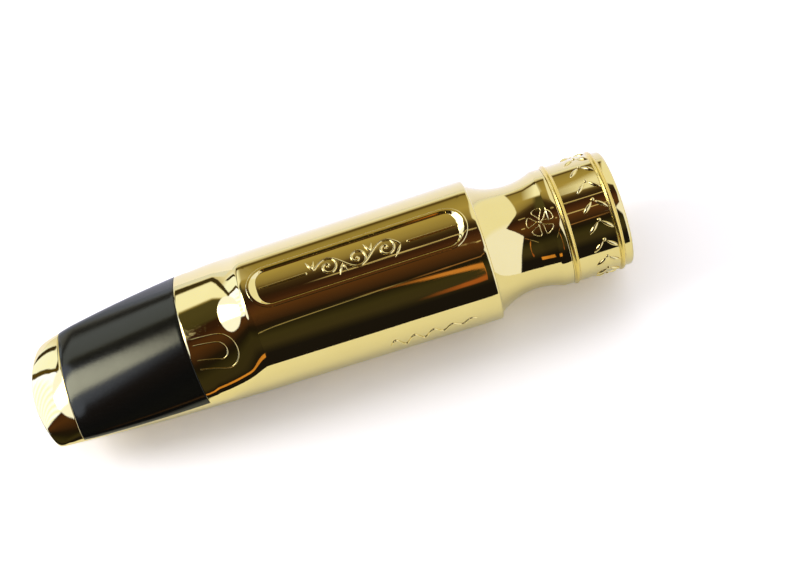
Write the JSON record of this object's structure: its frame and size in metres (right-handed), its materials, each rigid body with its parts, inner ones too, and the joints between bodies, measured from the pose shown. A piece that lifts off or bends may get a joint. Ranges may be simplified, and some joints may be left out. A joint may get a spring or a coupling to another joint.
{
  "type": "tenor saxophone mouthpiece",
  "caption": "Metal tenor saxophone mouthpiece with a round barrel, a long beak, a black bite plate, a necked shank and a beaded shank collar.",
  "frame": {"origin": "centre of the shank's open end, on the bore's axis", "axes": "+X leaves the shank's bore, towards the saxophone's neck; the tip points to -X; +Z is the top of the beak; the reed's table faces -Z; +Y completes the right-handed frame"},
  "size_m": [0.0983, 0.0232, 0.0232],
  "materials": {
    "gold_plate": "mirror-polished gold plate on brass",
    "bite_plate": "satin black hard rubber"
  },
  "bodies": {
    "root": {"body": "gold_plate", "bite_plate": "bite_plate", "shank": "gold_plate", "shank_collar": "gold_plate"}
  },
  "joints": []
}
